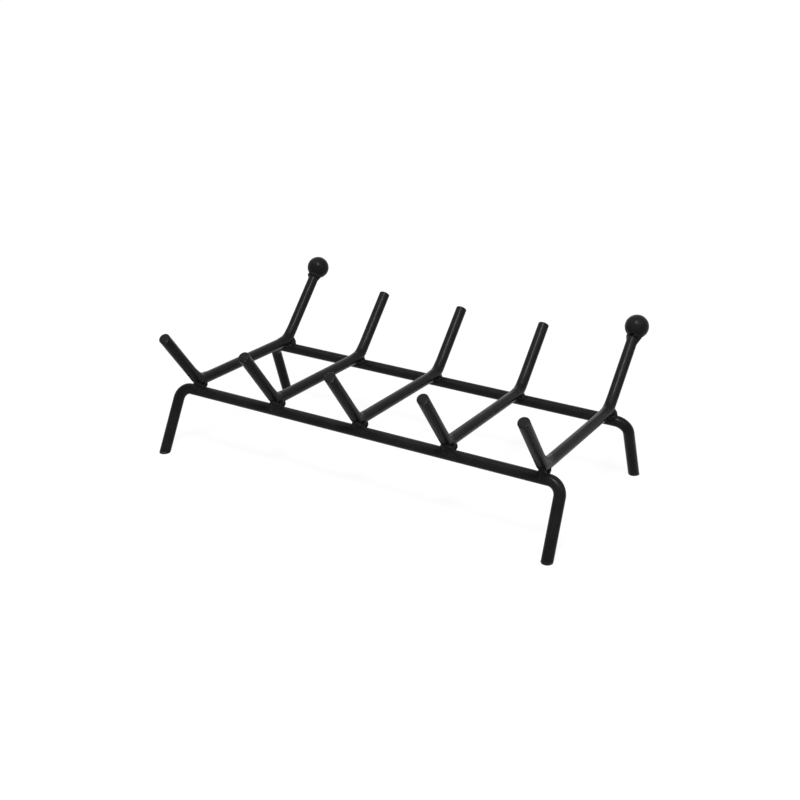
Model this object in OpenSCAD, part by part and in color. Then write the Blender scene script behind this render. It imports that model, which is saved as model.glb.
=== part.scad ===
// A fire grate of bent and welded round steel bar, which holds logs clear of the hearth.
// X runs along the rails, Y from the front to the rear, and Z is up from the floor.

/* [Bar stock] */
// Diameter of the round steel bar that all the bent pieces are made of
bar_d = 12; // [8:0.5:14]
// Rounding of the cropped ends of the bars
end_round = 1.2; // [0.4:0.1:2]

/* [Rails] */
// Distance between the front rail and the rear rail, from centre to centre
rail_spacing = 174; // [150:1:260]
// Height of the middle of a rail above the floor
rail_height = 69; // [55:1:110]
// Distance between the two legs of a rail, where their centrelines meet the rail's
leg_span = 453; // [380:1:620]
// Radius of the bends between rail and legs, on the centreline
leg_bend_r = 14; // [12:0.5:22]
// Lean of the legs to the front or the rear, in degrees from upright
leg_splay = 23.5; // [10:0.5:30]
// Opening of the legs along the rail, in degrees past a square bend
leg_spread = 2.2; // [0:0.1:6]

/* [Grate bars] */
// Distance from the leg bend to the middle of the outermost grate bar, along the rail
end_bar_offset = 8; // [7:0.5:30]
// Radius of the bends in a grate bar, on the centreline
arm_bend_r = 16; // [12:0.5:22]
// Lean of the front arms, in degrees from upright
front_arm_lean = 40; // [25:0.5:55]
// Lean of the rear arms, in degrees from upright
rear_arm_lean = 41.5; // [25:0.5:55]
// Length of a plain arm, from the corner of the centreline to the end
arm_length = 83.5; // [60:0.5:120]
// Extra length of an arm that carries a ball
finial_extra = 4; // [0:0.5:12]
// Distance inside the rails at which the bends of a grate bar start
bend_inset = 10.5; // [8:0.1:13]

/* [Finials] */
// Diameter of the balls
ball_d = 26; // [18:0.5:34]

/* [Welds] */
// Gap between two pieces before they are welded
fit_up = 0.3; // [0.1:0.1:0.6]
// Radius of the drops of weld that fill the notch outside each crossing
outer_drop_r = 4.3; // [3.4:0.1:4.8]
// Radius of the drops of weld that run down from the notch onto the face of the rail
toe_drop_r = 2.8; // [2.2:0.1:3.2]
// Radius of the drops of weld in the crevice inside each crossing
inner_drop_r = 3.6; // [2.6:0.1:3.8]
// Radius of a ball's weld tack where it meets the ball
tack_r = 3.2; // [2.5:0.1:3.6]
// Length of a ball's weld tack down the arm from the arm's end
tack_length = 8; // [5:0.5:12]

/* [Hidden] */
$fn = 96;
bar_colour = "#2a2b2b";
weld_colour = "#1d1d1d";

bar_r = bar_d / 2;
ball_r = ball_d / 2;
// The bar swells a little where it was bent, and its straight lengths run on into the bend
bend_swell = 0.02;
bend_overlap = 0.3;
// A cropped end is rounded in steps of this many degrees
round_step = 15;
// The drops of a weld lie at whole and half places of a row, and each row's end drops reach this
// much past the sides of the bar
outer_row = [-1:1:1];
inner_row = [-1:0.5:1];
outer_overlap = 1;
toe_overlap = -1;
inner_overlap = 3.7;
// Each row lies at this angle round the rail from the crossing, outward, and the middles of its
// drops are this far off the rail's surface
outer_turn = 37.5;
outer_lift = 0.75;
toe_turn = 60;
toe_lift = -0.2;
inner_turn = -35.5;
inner_lift = 1.55;
// A ball's weld tack is a row of drops, from a small one on the arm to a large one on the ball
tack_row = [0:0.2:1];
tack_foot_r = 1.5;
tack_rise = 4;
tack_flare = 2;

// A leg bends through this angle, and its bend takes up this much of the rail
leg_turn = 90 - leg_spread;
leg_bend_run = leg_bend_r * tan(leg_turn / 2);
rail_straight = leg_span / 2 - leg_bend_run;
// Direction of a leg along X, Y and Z, for a leg at the right of the front rail
leg_way = [
    sin(leg_spread),
    -cos(leg_spread) * sin(leg_splay),
    -cos(leg_spread) * cos(leg_splay)
];
leg_length = rail_height / -leg_way.z;
// A leg is modelled this much too long, and then cut flat at the floor
floor_trim = bar_d;

// The middle bars are spaced evenly between the two outermost
bar_count = 5;
middle_bar = (bar_count + 1) / 2;
bar_pitch = (rail_straight - end_bar_offset) / (bar_count - middle_bar);

// The outside of an arm's bend lies on the rail, so the bend's centre is this high above the rail
bend_start_y = rail_spacing / 2 - bend_inset;
seat_r = arm_bend_r + bar_d + fit_up;
bar_rise = sqrt(seat_r * seat_r - bend_inset * bend_inset) - arm_bend_r;
bar_height = rail_height + bar_rise;
// Angle from upright of the line from the rail to the centre of the bend, through the crossing
seat_angle = asin(bend_inset / seat_r);

finial_arm_length = arm_length + finial_extra;
ball_reach = finial_arm_length + fit_up + ball_r;

// The bend of an arm takes up this much of the bar, up to the corner of the centreline
function arm_bend_run(lean) = arm_bend_r * tan((90 - lean) / 2);
function corner_y(lean) = bend_start_y + arm_bend_run(lean);
// Reach of an arm's end from the middle between the rails
function arm_reach(lean) = corner_y(lean) + (arm_length - end_round) * sin(lean)
    + (bar_r - end_round) * cos(lean) + end_round;

// The object's reach to the front and the rear, which puts the origin in the middle between them
leg_reach = rail_spacing / 2 + leg_length * -leg_way.y
    + bar_r * sqrt(1 + pow(leg_way.y / leg_way.z, 2));
finial_reach = corner_y(rear_arm_lean) + ball_reach * sin(rear_arm_lean) + ball_r;
front_reach = max(leg_reach, arm_reach(front_arm_lean));
rear_reach = max(leg_reach, arm_reach(rear_arm_lean), finial_reach);
origin_shift = (front_reach - rear_reach) / 2;

function bar_x(number) = (number - middle_bar) * bar_pitch;
function is_outer(number) = number == 1 || number == bar_count;
function rear_arm_length(number) = is_outer(number) ? finial_arm_length : arm_length;

// Everything is modelled midway between the rails and then moved onto the origin
module placed() {
    translate([0, origin_shift, 0]) children();
}

// Turns a piece made for the front round to the rear
module facing_rear() {
    mirror([0, 1, 0]) children();
}

// A straight length of bar up from the XY plane, which starts a little below it, in the bend
module straight_bar(length) {
    translate([0, 0, -bend_overlap]) cylinder(r = bar_r, h = length + bend_overlap);
}

// The same with its free end cropped, which leaves the edge rounded
module cropped_bar(length) {
    rotate_extrude()
        polygon(concat(
            [[0, -bend_overlap], [bar_r, -bend_overlap]],
            [for (turn = [0:round_step:90]) [
                bar_r - end_round * (1 - cos(turn)),
                length - end_round * (1 - sin(turn))
            ]],
            [[0, length]]
        ));
}

// A bend that starts upward at the origin and curves towards +X through an angle
module bend(radius, angle) {
    translate([radius, 0, 0])
        rotate([90, 0, 0])
            rotate([0, 0, 180 - angle])
                rotate_extrude(angle = angle)
                    translate([radius, 0]) circle(r = bar_r + bend_swell);
}

// Places children on the end of such a bend, pointing onward
module after_bend(radius, angle) {
    translate([radius * (1 - cos(angle)), 0, radius * sin(angle)])
        rotate([0, angle, 0]) children();
}

// The right-hand leg of a rail with its bend, from the end of the straight, before it leans
module rail_leg() {
    translate([rail_straight, 0, 0])
        rotate([0, 90, 0]) {
            bend(leg_bend_r, leg_turn);
            after_bend(leg_bend_r, leg_turn)
                straight_bar(leg_length - leg_bend_run + floor_trim);
        }
}

// The front rail: the bent bar leans forward about its straight length and is cut off at the floor
module bent_rail() {
    difference() {
        translate([0, -rail_spacing / 2, rail_height])
            rotate([-leg_splay, 0, 0]) {
                rotate([0, 90, 0])
                    cylinder(r = bar_r, h = 2 * (rail_straight + bend_overlap), center = true);
                rail_leg();
                mirror([1, 0, 0]) rail_leg();
            }
        translate([-leg_span, -rail_spacing, -rail_height])
            cube([2 * leg_span, 2 * rail_spacing, rail_height]);
    }
}

// The front arm of a grate bar with its bend, from the end of the level part
module grate_arm(length, lean) {
    translate([0, -bend_start_y, bar_height])
        rotate([90, 0, 0])
            rotate([0, 0, 90]) {
                bend(arm_bend_r, 90 - lean);
                after_bend(arm_bend_r, 90 - lean) cropped_bar(length - arm_bend_run(lean));
            }
}

module bent_grate_bar(number) {
    translate([bar_x(number), 0, 0]) {
        translate([0, 0, bar_height])
            rotate([90, 0, 0])
                cylinder(r = bar_r, h = 2 * (bend_start_y + bend_overlap), center = true);
        grate_arm(arm_length, front_arm_lean);
        facing_rear() grate_arm(rear_arm_length(number), rear_arm_lean);
    }
}

// Places children on the axis of a rear arm, measured from the corner along the arm
module on_rear_arm(number, distance) {
    translate([bar_x(number), corner_y(rear_arm_lean), bar_height])
        rotate([-rear_arm_lean, 0, 0])
            translate([0, 0, distance]) children();
}

module ball(number) {
    on_rear_arm(number, ball_reach) sphere(r = ball_r);
}

// A row of weld drops along a front crossing, across the bar, at an angle round the rail from the
// crossing and with its middles this much off the rail's surface
module drop_row(number, row, drop_r, overlap, turn, lift) {
    translate([bar_x(number), -rail_spacing / 2, rail_height])
        rotate([turn - seat_angle, 0, 0])
            translate([0, 0, bar_r + lift])
                for (place = row)
                    translate([place * (bar_r + overlap - drop_r), 0, 0]) sphere(r = drop_r);
}

// The weld at a front crossing: one bead fills the notch between the rail and the outside of the
// bar's bend and runs out onto the rail's face, and another lies in the crevice on the inside
module crossing_weld(number) {
    difference() {
        union() {
            drop_row(number, outer_row, outer_drop_r, outer_overlap, outer_turn, outer_lift);
            drop_row(number, outer_row, toe_drop_r, toe_overlap, toe_turn, toe_lift);
            drop_row(number, inner_row, inner_drop_r, inner_overlap, inner_turn, inner_lift);
        }
        bent_rail();
        bent_grate_bar(number);
    }
}

// A pair of tacks, one on each side of the arm, that run up from the arm onto the ball
module finial_tacks(number) {
    difference() {
        for (side = [-1, 1])
            for (place = tack_row)
                on_rear_arm(number, finial_arm_length - tack_length + tack_foot_r
                        + place * (tack_length - tack_foot_r + tack_rise))
                    translate([side * (bar_r + place * tack_flare), 0, 0])
                        sphere(r = tack_foot_r + place * (tack_r - tack_foot_r));
        bent_grate_bar(number);
        ball(number);
    }
}

module rail_front() color(bar_colour) placed() bent_rail();
module rail_rear() color(bar_colour) placed() facing_rear() bent_rail();
module grate_bar(number) color(bar_colour) placed() bent_grate_bar(number);
module finial(number) color(bar_colour) placed() ball(number);
module weld_front(number) color(weld_colour) placed() crossing_weld(number);
module weld_rear(number) color(weld_colour) placed() facing_rear() crossing_weld(number);
module finial_weld(number) color(weld_colour) placed() finial_tacks(number);

rail_front();
rail_rear();
grate_bar(1);  // grate_bar_1
grate_bar(2);  // grate_bar_2
grate_bar(3);  // grate_bar_3
grate_bar(4);  // grate_bar_4
grate_bar(5);  // grate_bar_5
finial(1);  // finial_left
finial(bar_count);  // finial_right
weld_front(1);  // weld_front_1
weld_front(2);  // weld_front_2
weld_front(3);  // weld_front_3
weld_front(4);  // weld_front_4
weld_front(5);  // weld_front_5
weld_rear(1);  // weld_rear_1
weld_rear(2);  // weld_rear_2
weld_rear(3);  // weld_rear_3
weld_rear(4);  // weld_rear_4
weld_rear(5);  // weld_rear_5
finial_weld(1);  // finial_weld_left
finial_weld(bar_count);  // finial_weld_right
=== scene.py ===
from math import asin, cos, radians, sin, tan

import bpy
from mathutils import Matrix, Vector


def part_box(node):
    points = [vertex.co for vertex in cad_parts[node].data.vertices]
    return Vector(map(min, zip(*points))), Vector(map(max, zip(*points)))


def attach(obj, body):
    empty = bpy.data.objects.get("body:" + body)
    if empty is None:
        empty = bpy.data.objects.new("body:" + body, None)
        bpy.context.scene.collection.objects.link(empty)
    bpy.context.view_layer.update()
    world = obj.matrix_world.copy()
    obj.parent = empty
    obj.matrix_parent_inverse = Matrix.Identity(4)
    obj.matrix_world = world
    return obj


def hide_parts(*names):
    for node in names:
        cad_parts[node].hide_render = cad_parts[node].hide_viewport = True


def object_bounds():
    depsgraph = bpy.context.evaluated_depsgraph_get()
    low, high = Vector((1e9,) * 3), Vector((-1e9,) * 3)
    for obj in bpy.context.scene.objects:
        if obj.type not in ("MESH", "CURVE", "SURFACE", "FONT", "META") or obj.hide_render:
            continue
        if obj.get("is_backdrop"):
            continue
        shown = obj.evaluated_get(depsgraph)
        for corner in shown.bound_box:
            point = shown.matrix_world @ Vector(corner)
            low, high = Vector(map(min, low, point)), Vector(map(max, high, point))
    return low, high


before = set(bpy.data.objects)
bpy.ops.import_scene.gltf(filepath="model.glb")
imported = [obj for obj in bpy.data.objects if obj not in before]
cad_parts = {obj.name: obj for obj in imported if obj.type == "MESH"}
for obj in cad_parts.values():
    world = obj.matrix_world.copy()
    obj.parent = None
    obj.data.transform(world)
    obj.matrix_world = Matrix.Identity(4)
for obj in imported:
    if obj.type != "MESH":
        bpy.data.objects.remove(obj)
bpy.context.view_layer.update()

# RAILS
# Each rail is one length of round mild steel bar, bent down at both ends in a hand bender to make
# its two legs, which lean out to the front or the rear. The legs are sawn off flat at the floor,
# and the whole grate is sprayed with a satin black stove paint that wears thin where it stands. The
# paler ring just above each sole is that wear and also a painted highlight, where the sawn edge
# catches the light.
mm = 0.001
bar_radius = 6 * mm
leg_span = 453 * mm
rail_height = 69 * mm
leg_bend_radius = 14 * mm
leg_splay = radians(23.5)
leg_spread = radians(2.17)
saw_spare = 12 * mm
saw_edge = 0.8 * mm

# How finely the bars are meshed, and how near to the floor an edge belongs to a sawn sole.
bar_sides = 48
ring_step = 3 * mm
bend_steps = 14
smooth_up_to = radians(40)
at_floor = 0.01 * mm

# The patches in the tone and the sheen of the paint, and the ring above each sole, worn paint and
# a painted highlight. A spread is the part of the noise over which a patch goes from nothing to
# full.
paint_gloss = 0.055
tone_patches, tone_spread = 14 * mm, (0.35, 0.65)
sheen_patches, sheen_spread = 4 * mm, (0.3, 0.7)
shinier, duller = -0.05, 0.07
paint_lumps = 3 * mm
foot_wear_and_glint_height = 1.9 * mm
foot_wear_and_glint_width = 0.7 * mm
foot_wear_and_glint_spots, foot_wear_and_glint_spread = 5 * mm, (0.42, 0.56)
foot_wear_and_glint_colour = (0.042, 0.042, 0.043)


def push_bar(way, length):
    """Carries the open end of a bar straight on, ring by ring."""
    rings = max(1, round(length / ring_step))
    for _ in range(rings):
        bpy.ops.mesh.extrude_region_move(
            TRANSFORM_OT_translate={"value": way * (length / rings)})


def bend_bar(end, way, new_way, radius):
    """Bends the open end of a bar out of one way and into another."""
    axis = way.cross(new_way).normalized()
    centre = end + axis.cross(way) * radius
    angle = way.angle(new_way)
    for _ in range(bend_steps):
        bpy.ops.mesh.spin(steps=1, angle=-angle / bend_steps, center=centre, axis=axis)
    return centre + Matrix.Rotation(angle, 3, axis) @ (end - centre)


def bent_bar(name, corners, bend_radius, radius=bar_radius):
    """One length of bar through these corners of its centreline."""
    bpy.ops.object.select_all(action="DESELECT")
    end = corners[0]
    way = (corners[1] - end).normalized()
    bpy.ops.mesh.primitive_circle_add(
        vertices=bar_sides, radius=radius, fill_type="NGON", location=end,
        rotation=way.to_track_quat("Z", "Y").to_euler())
    bar = bpy.context.object
    bar.name = bar.data.name = name
    bpy.ops.object.transform_apply(location=True, rotation=True, scale=True)
    bpy.ops.object.mode_set(mode="EDIT")
    bpy.ops.mesh.select_mode(type="FACE")
    bpy.ops.mesh.select_all(action="SELECT")
    for corner, after in zip(corners[1:], corners[2:]):
        new_way = (after - corner).normalized()
        bend_start = corner - way * bend_radius * tan(way.angle(new_way) / 2)
        push_bar(way, (bend_start - end).length)
        end = bend_bar(bend_start, way, new_way, bend_radius)
        way = new_way
    push_bar(way, (corners[-1] - end).length)
    bpy.ops.mesh.select_all(action="SELECT")
    bpy.ops.mesh.normals_make_consistent(inside=False)
    bpy.ops.object.mode_set(mode="OBJECT")
    return bar


def saw_off_at_floor():
    """Cuts the bar off flat at the floor, which leaves a thin worn edge round each cut."""
    bpy.ops.object.mode_set(mode="EDIT")
    bpy.ops.mesh.select_all(action="SELECT")
    bpy.ops.mesh.bisect(plane_co=(0, 0, 0), plane_no=(0, 0, 1), use_fill=True, clear_inner=True)
    bpy.ops.mesh.select_all(action="DESELECT")
    bpy.ops.object.mode_set(mode="OBJECT")
    mesh = bpy.context.object.data
    for edge in mesh.edges:
        edge.select = all(abs(mesh.vertices[v].co.z) < at_floor for v in edge.vertices)
    bpy.ops.object.mode_set(mode="EDIT")
    bpy.ops.mesh.select_mode(type="EDGE")
    bpy.ops.mesh.bevel(offset=saw_edge, offset_type="OFFSET", segments=2, affect="EDGES")
    bpy.ops.object.mode_set(mode="OBJECT")


def noise(nodes, links, place, size, detail):
    """Fractal noise on the object's own coordinates, with patches of about this size."""
    texture = nodes.new("ShaderNodeTexNoise")
    texture.inputs["Scale"].default_value = 1 / size
    texture.inputs["Detail"].default_value = detail
    links.new(place, texture.inputs["Vector"])
    return texture.outputs["Fac"]


def ramp(nodes, links, value, start, end, low=0, high=1):
    """Goes from low to high as the value goes from start to end."""
    step = nodes.new("ShaderNodeMapRange")
    step.inputs["From Min"].default_value = start
    step.inputs["From Max"].default_value = end
    step.inputs["To Min"].default_value = low
    step.inputs["To Max"].default_value = high
    links.new(value, step.inputs["Value"])
    return step.outputs["Result"]


def paint(name, dark, light, roughness, grain_size, grain_depth, lumps_depth):
    """Satin black stove paint: patchy in tone and sheen, with the fine grain of a spray can."""
    material = bpy.data.materials.new(name)
    material.use_nodes = True
    nodes, links = material.node_tree.nodes, material.node_tree.links
    shader = nodes["Principled BSDF"]
    shader.inputs["Specular IOR Level"].default_value = paint_gloss
    place = nodes.new("ShaderNodeTexCoord").outputs["Object"]

    tone = nodes.new("ShaderNodeMix")
    tone.data_type = "RGBA"
    tone.inputs["A"].default_value = (*dark, 1)
    tone.inputs["B"].default_value = (*light, 1)
    patches = noise(nodes, links, place, tone_patches, detail=3)
    links.new(ramp(nodes, links, patches, *tone_spread), tone.inputs["Factor"])
    links.new(tone.outputs["Result"], shader.inputs["Base Color"])

    sheen = noise(nodes, links, place, sheen_patches, detail=4)
    links.new(ramp(nodes, links, sheen, *sheen_spread, roughness + shinier, roughness + duller),
              shader.inputs["Roughness"])

    lumps = nodes.new("ShaderNodeBump")
    lumps.inputs["Distance"].default_value = lumps_depth
    links.new(noise(nodes, links, place, paint_lumps, detail=2), lumps.inputs["Height"])
    grain = nodes.new("ShaderNodeBump")
    grain.inputs["Distance"].default_value = grain_depth
    links.new(noise(nodes, links, place, grain_size, detail=2), grain.inputs["Height"])
    links.new(lumps.outputs["Normal"], grain.inputs["Normal"])
    links.new(grain.outputs["Normal"], shader.inputs["Normal"])
    return material


def sums(nodes, links, operation, *terms):
    """One step of arithmetic, each term of it another node's value or a number."""
    step = nodes.new("ShaderNodeMath")
    step.operation = operation
    for socket, term in zip(step.inputs, terms):
        if isinstance(term, (int, float)):
            socket.default_value = term
        else:
            links.new(term, socket)
    return step.outputs[0]


def mix_in_wear_and_glints(material, wear_and_glint_mask, steel):
    """Mixes this paler steel colour into the paint where the mask is 1: worn paint and painted
    highlights.
    """
    nodes, links = material.node_tree.nodes, material.node_tree.links
    colour = nodes["Principled BSDF"].inputs["Base Color"]
    paler = nodes.new("ShaderNodeMix")
    paler.data_type = "RGBA"
    paler.inputs["B"].default_value = (*steel, 1)
    links.new(wear_and_glint_mask, paler.inputs["Factor"])
    links.new(colour.links[0].from_socket, paler.inputs["A"])
    links.new(paler.outputs["Result"], colour)


def paint_foot_wear_and_glint(material):
    """Paints a paler ring in spots round the feet just above the floor: worn paint and painted
    highlight.
    """
    nodes, links = material.node_tree.nodes, material.node_tree.links
    place = nodes.new("ShaderNodeTexCoord").outputs["Object"]
    height = nodes.new("ShaderNodeSeparateXYZ")
    links.new(place, height.inputs["Vector"])
    off_ring = sums(nodes, links, "ABSOLUTE",
                    sums(nodes, links, "SUBTRACT", height.outputs["Z"], foot_wear_and_glint_height))
    ring = ramp(nodes, links, off_ring, foot_wear_and_glint_width * 1.5, foot_wear_and_glint_width * 0.5)
    spots = ramp(nodes, links, noise(nodes, links, place, foot_wear_and_glint_spots, detail=3), *foot_wear_and_glint_spread)
    mix_in_wear_and_glints(material, sums(nodes, links, "MULTIPLY", ring, spots), foot_wear_and_glint_colour)


bar_paint = paint("bar_paint", dark=(0.0062, 0.0065, 0.0064), light=(0.0092, 0.0096, 0.0092),
                  roughness=0.26, grain_size=0.35 * mm, grain_depth=0.01 * mm,
                  lumps_depth=0.04 * mm)
# Paler ring above each sole: worn paint and a painted highlight.
paint_foot_wear_and_glint(bar_paint)

for name, lean in (("rail_front", -1), ("rail_rear", 1)):
    low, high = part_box(name)
    rail_y = high.y - bar_radius if lean < 0 else low.y + bar_radius
    corners = []
    for side in (-1, 1):
        corner = Vector((side * leg_span / 2, rail_y, rail_height))
        leg_way = Vector((side * sin(leg_spread), lean * cos(leg_spread) * sin(leg_splay),
                          -cos(leg_spread) * cos(leg_splay)))
        foot = corner + leg_way * (rail_height / -leg_way.z + saw_spare)
        corners += [foot, corner] if side < 0 else [corner, foot]
    rail = bent_bar("bent_" + name, corners, leg_bend_radius)
    saw_off_at_floor()
    bpy.ops.object.shade_smooth_by_angle(angle=smooth_up_to)
    rail.data.materials.append(bar_paint)
    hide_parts(name)
    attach(rail, "root")


# GRATE BARS
# Each grate bar is a shorter length of the same bar, cropped to length, which rounds its ends, and
# bent up and outward at both ends over a former, which thickens the inside of each bend. The bars
# are seated on the rails in their bends.
rail_spacing = 174 * mm
bend_inset = 10.5 * mm
front_lean = radians(40)
rear_lean = radians(41.5)
arm_bend_radius = 16 * mm
arm_length = 83.5 * mm
finial_arm_length = 87.5 * mm
cropped_edge = 1.2 * mm
front_upsets = [1.8 * mm, 1.0 * mm, 0.6 * mm, 0.5 * mm, 2.5 * mm]
rear_upset = 1.6 * mm
upset_reach = 16 * mm
bar_height = 79.28 * mm
bar_pitch = 102.514 * mm

# The painted highlights on the front rims: how far back from the end, how wide, and from where to
# where the painted highlight sets in to the right of the bar's middle and below it.
rim_glint_back, rim_glint_width = 0.9 * mm, 0.9 * mm
rim_glint_right = 2.2 * mm, 3.5 * mm
rim_glint_below = 0.5 * mm, 2 * mm
rim_glint_spots, rim_glint_spread = 4 * mm, (0.35, 0.5)
# Colour of the painted highlight on the rims.
rim_glint_colour = (0.06, 0.06, 0.06)

low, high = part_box("rail_front")
grate_middle = high.y - bar_radius + rail_spacing / 2
front_arm = Vector((0, -sin(front_lean), cos(front_lean)))
rear_arm = Vector((0, sin(rear_lean), cos(rear_lean)))


def corner_place(x, end, lean):
    """Corner of a bar's centreline at its front end (-1) or its rear end (1)."""
    bend_run = arm_bend_radius * tan((radians(90) - lean) / 2)
    return Vector((x, grate_middle + end * (rail_spacing / 2 - bend_inset + bend_run), bar_height))


def thicken_bends(bar, corners, upsets):
    """Thickens the inside of each bend by its upset, where the steel was pushed together."""
    weights = bar.vertex_groups.new(name="inside_of_bends")
    for before, corner, after, upset in zip(corners, corners[1:], corners[2:], upsets):
        share = upset / max(upsets)
        way, new_way = (corner - before).normalized(), (after - corner).normalized()
        inward, along = (new_way - way).normalized(), (new_way + way).normalized()
        for vertex in bar.data.vertices:
            off_middle = abs((vertex.co - corner).dot(along)) / upset_reach
            facing_in = vertex.normal.dot(inward)
            if off_middle < 1 and facing_in > 0 and (vertex.co - corner).length < 2 * upset_reach:
                weight = share * (1 - off_middle ** 2) ** 2 * facing_in ** 1.5
                weights.add([vertex.index], weight, "REPLACE")
    modifier = bar.modifiers.new("upset", "DISPLACE")
    modifier.vertex_group = weights.name
    modifier.mid_level = 0
    modifier.strength = max(upsets)
    bpy.ops.object.modifier_apply(modifier=modifier.name)
    bar.vertex_groups.clear()


def paint_rim_glints(material):
    """Paints pale steel highlights on the front rims, low down on the right, where they catch
    light.
    """
    nodes, links = material.node_tree.nodes, material.node_tree.links
    place = nodes.new("ShaderNodeTexCoord").outputs["Object"]
    corner = corner_place(0, -1, front_lean)
    below = Vector((0, -front_arm.z, front_arm.y))

    def from_corner(way):
        along = nodes.new("ShaderNodeVectorMath")
        along.operation = "DOT_PRODUCT"
        along.inputs[1].default_value = way
        links.new(place, along.inputs[0])
        return sums(nodes, links, "SUBTRACT", along.outputs["Value"], corner.dot(way))

    off_rim = sums(nodes, links, "ABSOLUTE",
                   sums(nodes, links, "SUBTRACT", from_corner(front_arm), arm_length - rim_glint_back))
    across = sums(nodes, links, "WRAP", from_corner(Vector((1, 0, 0))),
                  -bar_pitch / 2, bar_pitch / 2)
    wear_and_glint_mask = ramp(nodes, links, off_rim, rim_glint_width * 0.8, rim_glint_width * 0.4)
    spots = noise(nodes, links, place, rim_glint_spots, detail=2)
    for glint_share in (ramp(nodes, links, across, *rim_glint_right),
                   ramp(nodes, links, from_corner(below), *rim_glint_below),
                   ramp(nodes, links, spots, *rim_glint_spread)):
        wear_and_glint_mask = sums(nodes, links, "MULTIPLY", wear_and_glint_mask, glint_share)
    mix_in_wear_and_glints(material, wear_and_glint_mask, rim_glint_colour)


# Painted highlights of pale steel colour on the rims of the front arms.
paint_rim_glints(bar_paint)
for number in range(1, 6):
    name = "grate_bar_" + str(number)
    low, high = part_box(name)
    x = (low.x + high.x) / 2
    front_corner, rear_corner = corner_place(x, -1, front_lean), corner_place(x, 1, rear_lean)
    rear_length = finial_arm_length if number in (1, 5) else arm_length
    corners = [front_corner + front_arm * arm_length, front_corner,
               rear_corner, rear_corner + rear_arm * rear_length]
    bar = bent_bar("bent_" + name, corners, arm_bend_radius)
    thicken_bends(bar, corners, (front_upsets[number - 1], rear_upset))
    bpy.ops.object.mode_set(mode="EDIT")
    bpy.ops.mesh.select_all(action="DESELECT")
    bpy.ops.object.mode_set(mode="OBJECT")
    for face in bar.data.polygons:
        face.select = len(face.vertices) == bar_sides
    bpy.ops.object.mode_set(mode="EDIT")
    bpy.ops.mesh.select_mode(type="FACE")
    bpy.ops.mesh.bevel(offset=cropped_edge, offset_type="OFFSET", segments=5, affect="EDGES")
    bpy.ops.object.mode_set(mode="OBJECT")
    bpy.ops.object.shade_smooth_by_angle(angle=smooth_up_to)
    bar.data.materials.append(bar_paint)
    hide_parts(name)
    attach(bar, "root")


# CROSSING WELDS
# Each crossing has two arc-weld beads: one fills the notch between the rail and the outside of the
# bar's bend, and a rougher one is run into the crevice behind. Both melt a little into the bars.
fit_up = 0.3 * mm
core_reach = 15 * mm
weld_grain = 0.4 * mm
weld_flow = 60

# The drops are melted to the bars from this deep under their surfaces, and the finished bead is
# then cut off this deep under them.
melt_depth = 0.3 * mm
melted_in = 0.05 * mm

# The rings of Blender's wood texture, which make the ripples, lie 0.314 apart.
wood_ring = 0.314
ripple_pitch = 1.4 * mm
ripple_depth = 0.07 * mm
crossing_run_start = -9 * mm
lump_size = 2.2 * mm
lump_height = 0.2 * mm
lump_sink = 0.4

# The drops of metal that each bead is melted from, in mm: how far across the crossing, how far
# outward from the place where the bars touch, how far up, and the radius of the drop.
outer_drops = [(-1.2, 3.6, -0.8, 3.2), (0.8, 4.0, -0.9, 4.0), (3.0, 4.0, -0.9, 4.1),
               (5.0, 3.6, -0.6, 3.3), (0.1, 4.9, -3.1, 2.4), (2.2, 5.2, -3.5, 2.6),
               (4.4, 4.9, -3.1, 2.4), (1.0, 5.7, -5.0, 2.1), (3.2, 5.7, -5.0, 2.1),
               (-0.6, 6.2, 0.1, 2.2), (1.4, 6.6, 0.1, 2.6), (3.4, 6.6, 0.1, 2.6),
               (5.2, 6.0, 0.4, 2.2), (1.2, 8.4, 1.6, 1.9), (3.2, 8.4, 1.6, 1.9)]
front_inner_drops = [(-6.2, -4.3, 0.2, 2.8), (-4.0, -4.6, 0.3, 3.3), (-1.4, -4.8, 0.2, 3.4),
                     (1.6, -4.8, 0.2, 3.4), (4.3, -4.6, 0.4, 3.2), (6.4, -4.8, 1.0, 2.9),
                     (7.5, -4.8, 2.4, 2.4), (7.0, -4.8, 4.2, 2.2)]
rear_inner_drops = [(-5.6, -3.2, 0.4, 2.1), (-3.6, -3.4, 0.3, 2.4), (-1.2, -3.5, 0.2, 2.5),
                    (1.4, -3.5, 0.2, 2.5), (3.8, -3.4, 0.3, 2.4), (5.8, -3.2, 0.5, 2.1)]

# How wide each weld is against the first one of its row, mirrored where it is less than 0.
front_widths = [0.82, 1, 1, 1, 0.68]
rear_widths = [-1.1, 1, 1, 1, -1.1]


def select_only(pieces):
    """Selects these pieces alone and makes the first one the active one."""
    bpy.ops.object.select_all(action="DESELECT")
    for piece in pieces:
        piece.select_set(True)
    bpy.context.view_layer.objects.active = pieces[0]


def apply_modifier(piece, kind, **settings):
    """Adds a modifier to a piece, sets it and applies it."""
    select_only([piece])
    modifier = piece.modifiers.new(kind, kind)
    for setting, value in settings.items():
        setattr(modifier, setting, value)
    bpy.ops.object.modifier_apply(modifier=modifier.name)


def drop(place, radius):
    """A round drop of metal."""
    bpy.ops.object.select_all(action="DESELECT")
    bpy.ops.mesh.primitive_uv_sphere_add(segments=24, ring_count=16, radius=radius, location=place)
    bpy.ops.object.transform_apply(location=True, rotation=True, scale=True)
    return bpy.context.object


def melt_together(name, drops, ends):
    """Melts drops of weld and the ends that they join into one skin."""
    select_only(drops + ends)
    bpy.ops.object.join()
    bead = bpy.context.object
    bead.name = bead.data.name = name
    apply_modifier(bead, "REMESH", mode="VOXEL", voxel_size=weld_grain)
    apply_modifier(bead, "SMOOTH", factor=0.5, iterations=weld_flow)
    return bead


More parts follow.
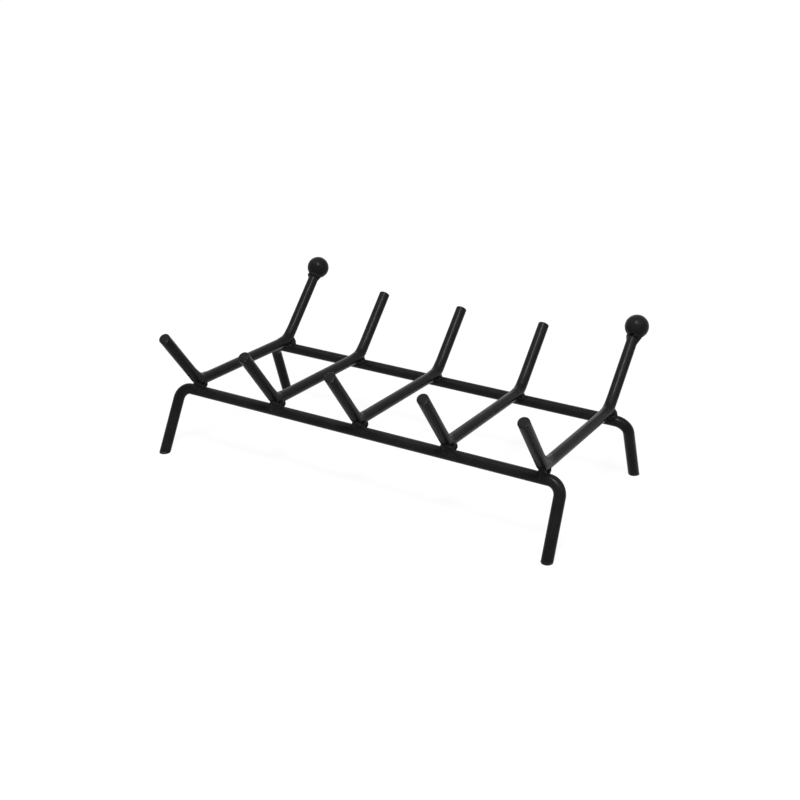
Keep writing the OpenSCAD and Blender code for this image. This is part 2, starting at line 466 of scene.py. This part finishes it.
def cut_to_fit(bead, cores):
    """Leaves of the bead what stands on the bars, and the little that melted into them."""
    for core in cores:
        apply_modifier(bead, "BOOLEAN", operation="DIFFERENCE", solver="EXACT", object=core)
        bpy.data.objects.remove(core)


def ripple(bead, start):
    """Leaves the ripples of a bead that was run from this start."""
    ripples = bpy.data.textures.new("weld_ripples", "WOOD")
    ripples.wood_type = "RINGS"
    mark = bpy.data.objects.new("ripple_start", None)
    bpy.context.collection.objects.link(mark)
    mark.location = start
    mark.scale = [ripple_pitch / wood_ring] * 3
    bpy.context.view_layer.update()
    apply_modifier(bead, "DISPLACE", texture=ripples, texture_coords="OBJECT",
                   texture_coords_object=mark, strength=ripple_depth)
    bpy.data.objects.remove(mark)


def crossing_bars(depth):
    """The rail and the grate bar at a crossing, down to this depth under their surfaces."""
    rail_middle = Vector((0, grate_middle - rail_spacing / 2, rail_height))
    corner = corner_place(0, -1, front_lean)
    radius, reach = bar_radius - depth, core_reach - depth
    return [
        bent_bar("rail_core", [rail_middle - Vector((reach, 0, 0)),
                               rail_middle + Vector((reach, 0, 0))], 0, radius),
        bent_bar("bar_core", [corner + front_arm * 2 * reach, corner,
                              corner + Vector((0, 2 * reach, 0))], arm_bend_radius, radius)]


seat_angle = asin(bend_inset / (arm_bend_radius + 2 * bar_radius + fit_up))
seat = Matrix.Translation((0, grate_middle - rail_spacing / 2, rail_height)) \
    @ Matrix.Rotation(-seat_angle, 4, "X") @ Matrix.Translation((0, 0, bar_radius + fit_up / 2))


def crossing_weld(name, inner_drops):
    """Both beads of one crossing of the front rail, at the middle of the grate."""
    drops = [drop(seat @ (Vector((across, -out, up)) * mm), radius * mm)
             for across, out, up, radius in outer_drops + inner_drops]
    weld = melt_together(name, drops, crossing_bars(melt_depth))
    cut_to_fit(weld, crossing_bars(melted_in))
    ripple(weld, seat @ Vector((crossing_run_start, 0, 0)))
    return weld


weld_paint = paint("weld_paint", dark=(0.0055, 0.0056, 0.0054), light=(0.009, 0.0092, 0.0088),
                   roughness=0.36, grain_size=0.3 * mm, grain_depth=0.03 * mm,
                   lumps_depth=0.12 * mm)
lumps = bpy.data.textures.new("weld_lumps", "CLOUDS")
lumps.noise_scale = lump_size
middle = Vector((0, grate_middle, 0))
for row, inner_drops, widths in (("front", front_inner_drops, front_widths),
                                 ("rear", rear_inner_drops, rear_widths)):
    first_weld = crossing_weld("first_weld", inner_drops)
    turn = Matrix.Rotation(radians(0 if row == "front" else 180), 4, "Z")
    for number in range(1, 6):
        low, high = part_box("weld_" + row + "_" + str(number))
        weld = first_weld.copy()
        weld.data = first_weld.data.copy()
        weld.name = weld.data.name = "bead_" + row + "_" + str(number)
        bpy.context.collection.objects.link(weld)
        width = Matrix.Scale(widths[number - 1], 4, (1, 0, 0))
        weld.matrix_world = Matrix.Translation(((low.x + high.x) / 2, 0, 0)) \
            @ Matrix.Translation(middle) @ turn @ Matrix.Translation(-middle) @ width
        select_only([weld])
        bpy.ops.object.transform_apply(location=True, rotation=True, scale=True)
        bpy.ops.object.mode_set(mode="EDIT")
        bpy.ops.mesh.select_all(action="SELECT")
        bpy.ops.mesh.normals_make_consistent(inside=False)
        bpy.ops.object.mode_set(mode="OBJECT")
        apply_modifier(weld, "DISPLACE", texture=lumps, texture_coords="LOCAL",
                       strength=lump_height, mid_level=lump_sink)
        bpy.ops.object.shade_smooth()
        weld.data.materials.append(weld_paint)
        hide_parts("weld_" + row + "_" + str(number))
        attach(weld, "root")
    bpy.data.objects.remove(first_weld)


# BALLS
# The two finials are solid steel balls. Each has a small flat ground on it where it sits on the end
# of its arm, and the skin of the forging still shows under the paint.
ball_radius = 13 * mm
ground_flat = 0.2 * mm
merge_within = 0.001 * mm
forged_size = 5 * mm
forged_depth = 0.12 * mm

ball_paint = paint("ball_paint", dark=(0.0062, 0.0065, 0.0064), light=(0.0092, 0.0096, 0.0092),
                   roughness=0.32, grain_size=0.35 * mm, grain_depth=0.01 * mm,
                   lumps_depth=0.03 * mm)
forged = bpy.data.textures.new("forged_skin", "CLOUDS")
forged.noise_scale = forged_size
for side in ("left", "right"):
    low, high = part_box("finial_" + side)
    centre = (low + high) / 2
    bpy.ops.object.select_all(action="DESELECT")
    bpy.ops.mesh.primitive_uv_sphere_add(
        segments=96, ring_count=60, radius=ball_radius - forged_depth / 2, location=centre,
        rotation=rear_arm.to_track_quat("Z", "Y").to_euler())
    ball = bpy.context.object
    ball.name = ball.data.name = "ball_" + side
    bpy.ops.object.transform_apply(location=True, rotation=True, scale=True)
    bpy.ops.object.mode_set(mode="EDIT")
    bpy.ops.mesh.select_all(action="SELECT")
    bpy.ops.mesh.bisect(plane_co=centre - rear_arm * (ball_radius - ground_flat),
                        plane_no=rear_arm, use_fill=True, clear_inner=True,
                        threshold=merge_within)
    bpy.ops.object.mode_set(mode="OBJECT")
    apply_modifier(ball, "DISPLACE", texture=forged, texture_coords="LOCAL", strength=forged_depth)
    bpy.ops.object.shade_smooth_by_angle(angle=smooth_up_to)
    ball.data.materials.append(ball_paint)
    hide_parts("finial_" + side)
    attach(ball, "root")


# BALL TACKS
# Each ball was welded on by hand, from the sides of its arm out onto the ball. The left-hand ball
# has a smooth neck of weld round the front, the right-hand one heavier tacks with a gap between.
tacks_run_start = 28 * mm

# The drops that the tacks are melted from, in mm: how far across the arm, how far to its front,
# how far down it from the middle of the ball, and the radius of the drop.
left_drops = [(6.6, 0, 12.8, 2.4), (5.7, 3.3, 12.8, 2.3), (3.3, 5.7, 12.8, 2.2),
              (0, 6.6, 12.8, 2.2), (-3.3, 5.7, 12.8, 2.2), (-5.7, 3.3, 12.8, 2.3),
              (-6.6, 0, 12.8, 2.4), (7.4, 0.5, 11, 2.2), (6.2, 0.5, 15.2, 2.1),
              (5.9, 0.5, 17.6, 1.7), (5.6, 0.5, 19.8, 1.2), (-6.1, 0, 15, 1.8),
              (-5.8, 0, 17, 1.3)]
right_drops = [(6.9, 0.5, 12.4, 2.5), (5.9, 3.4, 12.6, 2.4), (3.8, 5.5, 12.8, 2.2),
               (8.2, 0.5, 10.2, 2.0), (6.3, 0.8, 14.8, 2.3), (6.0, 0.8, 17, 2.0),
               (5.7, 0.6, 19.4, 1.5), (-6.3, -1.6, 13, 2.2), (-7.0, -2, 11.4, 1.9),
               (-6.0, -1.5, 15.2, 1.8), (-5.7, -1, 17.4, 1.3)]
arm_front = Vector((0, -cos(rear_lean), sin(rear_lean)))
ball_seat = corner_place(0, 1, rear_lean) + rear_arm * (finial_arm_length + fit_up)
ball_centre = ball_seat + rear_arm * ball_radius


def arm_and_ball(depth):
    """The end of an arm and its ball, down to this depth under their surfaces."""
    arm = bent_bar("arm_core", [ball_seat - rear_arm * 2 * (core_reach - depth), ball_seat], 0,
                   bar_radius - depth)
    return [arm, drop(ball_centre, ball_radius - depth)]


for side, side_drops in (("left", left_drops), ("right", right_drops)):
    drops = [drop(ball_centre + (Vector((across, 0, 0)) + arm_front * front
                                 - rear_arm * down) * mm, radius * mm)
             for across, front, down, radius in side_drops]
    tacks = melt_together("ball_tacks_" + side, drops, arm_and_ball(melt_depth))
    cut_to_fit(tacks, arm_and_ball(melted_in))
    ripple(tacks, ball_centre - rear_arm * tacks_run_start)
    low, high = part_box("finial_" + side)
    tacks.location = ((low.x + high.x) / 2, 0, 0)
    select_only([tacks])
    bpy.ops.object.transform_apply(location=True, rotation=True, scale=True)
    apply_modifier(tacks, "DISPLACE", texture=lumps, texture_coords="LOCAL",
                   strength=lump_height, mid_level=lump_sink)
    bpy.ops.object.shade_smooth()
    tacks.data.materials.append(weld_paint)
    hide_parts("finial_weld_" + side)
    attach(tacks, "root")


# FLOOR AND LIGHT
# The grate stands on a sweep of matt white paper that fades into a plain white background. Four
# softboxes light it, a small one overhead that makes the highlights and three large dim ones.
paper_tone, paper_roughness = (0.8, 0.8, 0.8), 0.9
sweep_size = 8
sweep_glow = 1.08
sweep_share = 0.85
fade_start, fade_end = 0.3, 0.8
room_light, room_white = 0.04, 1.02
box_aim = Vector((0, 0, 0.08))

# Name, place, width and watts of each softbox.
boxes = [("overhead_box", (0.30, -0.66, 1.40), 0.45, 23),
         ("left_box", (-0.73, -0.33, 1.47), 0.9, 4),
         ("right_box", (1.16, -0.33, 1.28), 0.9, 5.5),
         ("rear_box", (-0.89, 1.58, 0.93), 1.6, 3)]


def white_rays(nodes, links):
    """Is 1 for the rays that see the background: straight, in a reflection or through glass."""
    path = nodes.new("ShaderNodeLightPath")
    seen = path.outputs["Is Camera Ray"]
    for kind in ("Is Glossy Ray", "Is Transmission Ray"):
        seen = sums(nodes, links, "MAXIMUM", seen, path.outputs[kind])
    return seen


bpy.ops.object.select_all(action="DESELECT")
bpy.ops.mesh.primitive_plane_add(size=sweep_size, location=(0, 0, 0))
floor = bpy.context.object
floor.name = floor.data.name = "floor"
paper = bpy.data.materials.new("white_paper")
paper.use_nodes = True
nodes, links = paper.node_tree.nodes, paper.node_tree.links
matt = nodes["Principled BSDF"]
matt.inputs["Base Color"].default_value = (*paper_tone, 1)
matt.inputs["Roughness"].default_value = paper_roughness
matt.inputs["Specular IOR Level"].default_value = 0
white = nodes.new("ShaderNodeEmission")
white.inputs["Strength"].default_value = sweep_glow
distance = nodes.new("ShaderNodeVectorMath")
distance.operation = "LENGTH"
links.new(nodes.new("ShaderNodeTexCoord").outputs["Object"], distance.inputs[0])
fade = ramp(nodes, links, distance.outputs["Value"], fade_start, fade_end, sweep_share, 1)
fade.node.interpolation_type = "SMOOTHSTEP"
mixed = nodes.new("ShaderNodeMixShader")
links.new(sums(nodes, links, "MULTIPLY", fade, white_rays(nodes, links)), mixed.inputs["Fac"])
links.new(matt.outputs["BSDF"], mixed.inputs[1])
links.new(white.outputs["Emission"], mixed.inputs[2])
links.new(mixed.outputs["Shader"], nodes["Material Output"].inputs["Surface"])
floor.data.materials.append(paper)
floor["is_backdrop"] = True

world = bpy.data.worlds.new("white_room")
bpy.context.scene.world = world
world.use_nodes = True
nodes, links = world.node_tree.nodes, world.node_tree.links
level = ramp(nodes, links, white_rays(nodes, links), 0, 1, room_light, room_white)
nodes["Background"].inputs["Color"].default_value = (1, 1, 1, 1)
links.new(level, nodes["Background"].inputs["Strength"])

for name, place, size, watts in boxes:
    light = bpy.data.lights.new(name, "AREA")
    light.shape = "SQUARE"
    light.size = size
    light.energy = watts
    box = bpy.data.objects.new(name, light)
    bpy.context.collection.objects.link(box)
    box.location = place
    box.rotation_mode = "QUATERNION"
    box.rotation_quaternion = (box_aim - Vector(place)).to_track_quat("-Z", "Y")


# CAMERA
# The camera stands where the photograph was taken from, a little right of the front and above the
# grate. Its place, turn and focal length were fitted to the bars' ends and bends in the photograph.
camera_place = Vector((0.60044, -1.06898, 0.55269))
yaw, pitch, roll = 0.5155, 0.3747, 0.028
focal_pixels, frame_pixels = 1217.15, 800
film_width = 36
camera_data = bpy.data.cameras.new("camera")
camera_data.sensor_width = film_width
camera_data.lens = focal_pixels / frame_pixels * film_width
camera_data.clip_start, camera_data.clip_end = 0.05, 50
camera = bpy.data.objects.new("camera", camera_data)
bpy.context.collection.objects.link(camera)
right = Vector((cos(yaw), sin(yaw), 0))
forward = Vector((-sin(yaw) * cos(pitch), cos(yaw) * cos(pitch), -sin(pitch)))
up = right.cross(forward)
right, up = cos(roll) * right + sin(roll) * up, cos(roll) * up - sin(roll) * right
turn = Matrix((right, up, -forward)).transposed()
camera.matrix_world = Matrix.Translation(camera_place) @ turn.to_4x4()
bpy.context.scene.camera = camera

bpy.context.scene.view_settings.view_transform = "Standard"
low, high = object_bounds()
